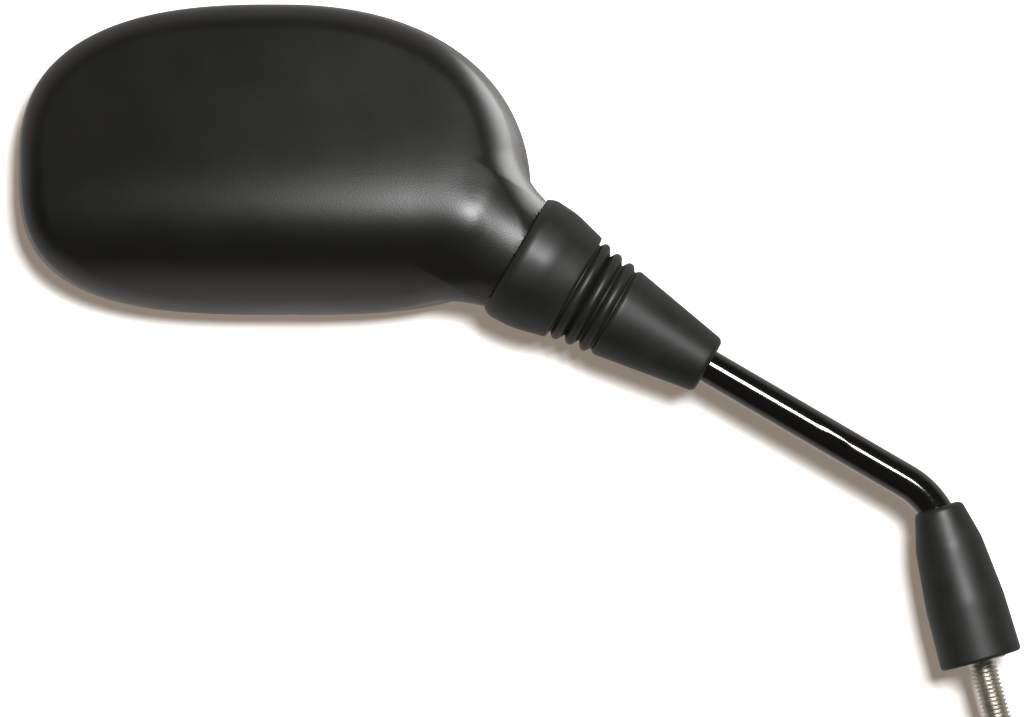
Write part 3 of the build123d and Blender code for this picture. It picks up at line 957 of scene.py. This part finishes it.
def make_adapter(adapter, sides=96, pitch_steps=14):
    """Hexagon with the stem's bore above and a threaded stud below."""
    turns = [2 * math.pi * i / sides for i in range(sides)]
    flat = (adapter_high.y - adapter_low.y) / 2
    top = adapter_high.z
    tip = adapter_low.z
    bore = adapter.bore / 2
    stud = adapter.stud / 2
    sixth = math.pi / 3

    def corner(turn):
        return flat / math.cos(turn % sixth - sixth / 2)

    def chamfer(turn):
        return (corner(turn) - flat) * math.tan(adapter.corner_slope)

    def thread(turn, height):
        phase = (height / adapter.pitch + turn / (2 * math.pi)) % 1
        groove = min(max(abs(2 * phase - 1) * adapter.thread_flank - adapter.thread_crest, 0), 1)
        start = smooth_step((-height - adapter.runout / 2) / adapter.runout)
        end = smooth_step((height - tip) / adapter.tip)
        return stud - adapter.thread_depth * groove * start * end - adapter.tip * (1 - end)

    def ring(radius_at, height_at):
        places = [(radius_at(turn), turn, height_at(turn)) for turn in turns]
        return [Vector((r * math.cos(turn), r * math.sin(turn), z)) for r, turn, z in places]

    def circle(radius, height):
        return ring(lambda turn: radius, lambda turn: height)

    rings = [[Vector((0, 0, adapter.floor))], circle(bore, adapter.floor), circle(bore, top)]
    rings += [circle(flat, top), ring(corner, lambda turn: top - chamfer(turn))]
    rings += [ring(corner, chamfer), circle(flat, 0), circle(stud, 0)]
    rows = round(-tip / (adapter.pitch / pitch_steps))
    for k in range(1, rows + 1):
        height = tip * k / rows
        rings.append(ring(lambda turn: thread(turn, height), lambda turn: height))
    rings.append([Vector((0, 0, tip))])
    return ringed("threaded_adapter", rings, sharp=math.radians(28))


class MIRROR_OT_fasteners(Operator):
    """Cut the adapter's thread and plate it, the lock nut and the washer"""

    bl_idname = "mirror.fasteners"
    bl_label = "Stud, nut and washer"
    bl_options = {"REGISTER", "UNDO"}

    def execute(self, context):
        scene = context.scene
        finishes = scene.mirror_finishes
        piece = make_adapter(scene.mirror_adapter)
        finish_piece(piece, bright_zinc(finishes))
        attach(piece, "adapter")
        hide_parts("stud_adapter")
        finish_nodes(bright_zinc(finishes), "lock_nut")
        finish_nodes(oiled_steel(finishes), "spring_washer")
        return {"FINISHED"}


class MIRROR_OT_ball_joint(Operator):
    """Finish the ball joint inside the neck"""

    bl_idname = "mirror.ball_joint"
    bl_label = "Ball joint"
    bl_options = {"REGISTER", "UNDO"}

    def execute(self, context):
        finishes = context.scene.mirror_finishes
        finish_nodes(plated_metal("ball_steel", finishes.ball_steel, rough=0.18), "pivot_ball")
        finish_nodes(bearing_plastic(finishes), "pressure_cup", "socket_cap")
        finish_nodes(oiled_steel(finishes), "disc_springs")
        finish_nodes(bright_zinc(finishes), "cap_screws")
        return {"FINISHED"}


def picture_frame(studio):
    """Frame at the middle of the picture: X right, Y up, Z towards the camera."""
    right = Vector((-math.cos(studio.roll), 0, -math.sin(studio.roll)))
    upwards = Vector((-math.sin(studio.roll), 0, math.cos(studio.roll)))
    return axes_at((studio.look_x, 0, studio.look_z), right, upwards, right.cross(upwards))


def make_camera(scene, studio):
    """Camera far away, so that it sees the mirror almost without perspective."""
    camera = bpy.data.cameras.new("camera")
    camera.lens = camera.sensor_width * studio.distance / studio.frame_width
    seat = bpy.data.objects.new("camera", camera)
    scene.collection.objects.link(seat)
    seat.matrix_world = picture_frame(studio) @ Matrix.Translation((0, 0, studio.distance))
    scene.camera = seat


def make_light(scene, name, place, aim, power, size):
    """Soft square light at a place, turned to a point, which the camera doesn't see."""
    lamp = bpy.data.lights.new(name, "AREA")
    lamp.energy = power
    lamp.size = size
    seat = bpy.data.objects.new(name, lamp)
    scene.collection.objects.link(seat)
    seat.rotation_mode = "QUATERNION"
    seat.location = place
    seat.rotation_quaternion = (aim - place).to_track_quat("-Z", "Y")
    seat.visible_camera = False
    return seat


def joined(tree, kind, first, second, sockets):
    """Output of a shader node that joins two shaders."""
    node = make_node(tree, kind, sockets)
    tree.links.new(first, node.inputs[-2])
    tree.links.new(second, node.inputs[-1])
    return node.outputs["Shader"]


def make_world(scene, studio):
    """White behind the mirror, and for its reflections a white table behind and a dim room in front."""
    world = bpy.data.worlds.new("studio")
    world.use_nodes = True
    scene.world = world
    tree = world.node_tree
    tree.nodes.clear()
    place = make_node(tree, "TexCoord", {}).outputs["Generated"]
    heading = make_node(tree, "SeparateXYZ", {"Vector": place}).outputs["Y"]
    sockets = {"Value": heading, "From Min": studio.table_end, "From Max": studio.room_start}
    sockets |= {"To Min": studio.table_glow, "To Max": studio.surround}
    glow = make_node(tree, "MapRange", sockets, interpolation_type="SMOOTHSTEP").outputs["Result"]
    room = make_node(tree, "Background", {"Color": (*studio.room_tint, 1.0), "Strength": glow})
    sheet = make_node(tree, "Background", {"Color": (1.0, 1.0, 1.0, 1.0), "Strength": studio.white})
    shaders = [node.outputs["Background"] for node in (room, sheet)]
    seen = make_node(tree, "LightPath", {}).outputs["Is Camera Ray"]
    make_node(tree, "OutputWorld", {"Surface": joined(tree, "MixShader", *shaders, {"Fac": seen})})


def paper_material(studio):
    """Paper that glows in the colour of its shade, and is clear from behind."""
    material, tree, place = start_material("paper")
    grey = mottled(tree, noise(tree, place, size=0.4 * MM), [studio.paper] * 3, spread=0.02)
    paper = make_node(tree, "BsdfDiffuse", {"Color": grey}).outputs["BSDF"]
    glow = make_node(tree, "Emission", {"Color": (*studio.shade, 1.0), "Strength": 1.0}).outputs["Emission"]
    front = joined(tree, "AddShader", paper, glow, {})
    back = make_node(tree, "BsdfTransparent", {}).outputs["BSDF"]
    behind = make_node(tree, "NewGeometry", {}).outputs["Backfacing"]
    surface = joined(tree, "MixShader", front, back, {"Fac": behind})
    make_node(tree, "OutputMaterial", {"Surface": surface})
    return material


def make_paper(studio):
    """Backdrop that only the camera sees."""
    place = picture_frame(studio) @ Matrix.Translation((0, 0, -studio.paper_depth))
    half = studio.paper_size / 2
    corners = [(-half, -half, 0), (half, -half, 0), (half, half, 0), (-half, half, 0)]
    mesh = bpy.data.meshes.new("paper")
    mesh.from_pydata([place @ Vector(corner) for corner in corners], [], [(0, 1, 2, 3)])
    mesh.materials.append(paper_material(studio))
    paper = bpy.data.objects.new("paper", mesh)
    bpy.context.scene.collection.objects.link(paper)
    for ray in ("glossy", "diffuse", "transmission", "shadow"):
        setattr(paper, "visible_" + ray, False)
    return paper


def link_light(lamp, piece, state):
    """Let a lamp light a piece alone, or all but that piece."""
    group = bpy.data.collections.new(lamp.name)
    group.objects.link(piece)
    group.collection_objects[0].light_linking.link_state = state
    lamp.light_linking.receiver_collection = group


class MIRROR_OT_studio(Operator):
    """Set the camera, the lights and the white surroundings"""

    bl_idname = "mirror.studio"
    bl_label = "Studio"
    bl_options = {"REGISTER", "UNDO"}

    def execute(self, context):
        scene = context.scene
        studio = scene.mirror_studio
        scene.view_settings.view_transform = "Standard"
        make_camera(scene, studio)
        make_world(scene, studio)
        paper = make_paper(studio)
        view = picture_frame(studio)
        aim = view.translation
        rise = Matrix.Rotation(-studio.key_turn, 4, "Z") @ Matrix.Rotation(-studio.key_rise, 4, "X")
        key_spot = view @ rise @ Vector((0, 0, studio.key_distance))
        key = make_light(scene, "key", key_spot, aim, studio.key_power, studio.key_size)
        side_spot = view @ Vector((studio.side_right, studio.side_up, -studio.side_back))
        side = make_light(scene, "side", side_spot, aim, studio.side_power, studio.side_size)
        spread = studio.distance / studio.paper_depth
        lean = Vector((math.cos(studio.shade_turn), math.sin(studio.shade_turn), 0)) * studio.shade_shift
        shade_spot = view @ (lean * spread + Vector((0, 0, studio.distance)))
        blur = studio.shade_blur * spread
        shade = make_light(scene, "shade", shade_spot, aim, studio.shade_power, blur)
        link_light(shade, paper, "INCLUDE")
        link_light(key, paper, "EXCLUDE")
        link_light(side, bpy.data.objects["moulded_housing"], "INCLUDE")
        return {"FINISHED"}


class MIRROR_PT_sidebar(Panel):
    """Steps that dress the mirror, and their sizes"""

    bl_label = "Motorcycle Mirror"
    bl_idname = "MIRROR_PT_sidebar"
    bl_space_type = "VIEW_3D"
    bl_region_type = "UI"
    bl_category = "Mirror"

    def draw(self, context):
        layout = self.layout
        for operator in operators:
            layout.operator(operator.bl_idname)
        for name, group in groups.items():
            box = layout.box()
            for key in group.__annotations__:
                box.prop(getattr(context.scene, name), key)


groups = {
    "mirror_finishes": MirrorFinishes,
    "mirror_housing": MirrorHousing,
    "mirror_boot": MirrorBoot,
    "mirror_stem": MirrorStem,
    "mirror_adapter": MirrorAdapter,
    "mirror_studio": MirrorStudio,
}
operators = (
    MIRROR_OT_housing,
    MIRROR_OT_glass,
    MIRROR_OT_boot,
    MIRROR_OT_stem,
    MIRROR_OT_cover,
    MIRROR_OT_fasteners,
    MIRROR_OT_ball_joint,
    MIRROR_OT_studio,
)


def register():
    for group in groups.values():
        bpy.utils.register_class(group)
    for name, group in groups.items():
        setattr(bpy.types.Scene, name, PointerProperty(type=group))
    for operator in operators:
        bpy.utils.register_class(operator)
    bpy.utils.register_class(MIRROR_PT_sidebar)


def unregister():
    bpy.utils.unregister_class(MIRROR_PT_sidebar)
    for operator in reversed(operators):
        bpy.utils.unregister_class(operator)
    for name, group in groups.items():
        delattr(bpy.types.Scene, name)
        bpy.utils.unregister_class(group)


def main():
    register()
    bpy.ops.mirror.housing()
    bpy.ops.mirror.glass()
    bpy.ops.mirror.boot()
    bpy.ops.mirror.stem()
    bpy.ops.mirror.cover()
    bpy.ops.mirror.fasteners()
    bpy.ops.mirror.ball_joint()
    bpy.ops.mirror.studio()


if __name__ == "__main__":
    main()
